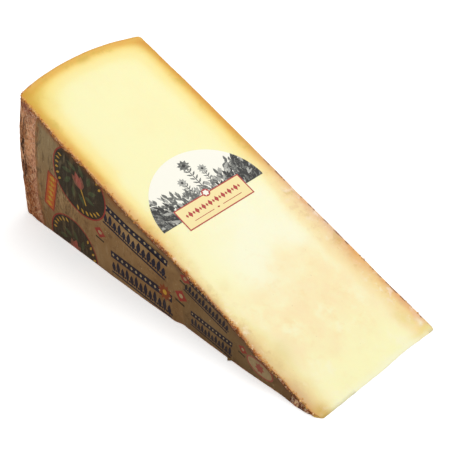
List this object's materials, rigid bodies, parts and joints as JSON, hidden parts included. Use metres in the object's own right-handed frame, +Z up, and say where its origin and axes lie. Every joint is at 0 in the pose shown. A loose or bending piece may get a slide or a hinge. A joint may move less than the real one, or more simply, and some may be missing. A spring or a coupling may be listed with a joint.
{
  "type": "gruyere cheese wedge",
  "caption": "Wedge of hard cheese cut from a large wheel, lying on one cut face, with rough brown rind, printed rind paper and a small label on the upper cut.",
  "frame": {"origin": "middle of the bottom of the box that holds the whole wedge, on the surface that the lower cut face lies on", "axes": "+Z up, +X from the heel towards the tip, -Y towards the printed flat face; the wheel's axis is the tip edge, along Y"},
  "size_m": [0.3088, 0.1094, 0.1184],
  "materials": {
    "paste": "satin pale yellow paste with a brown rind",
    "printed_paper": "matt brown printed paper, soaked by the rind",
    "label_paper": "matt white label paper"
  },
  "bodies": {
    "root": {"cheese_wedge": "paste", "rind_paper": "printed_paper", "cut_label": "label_paper"}
  },
  "joints": []
}
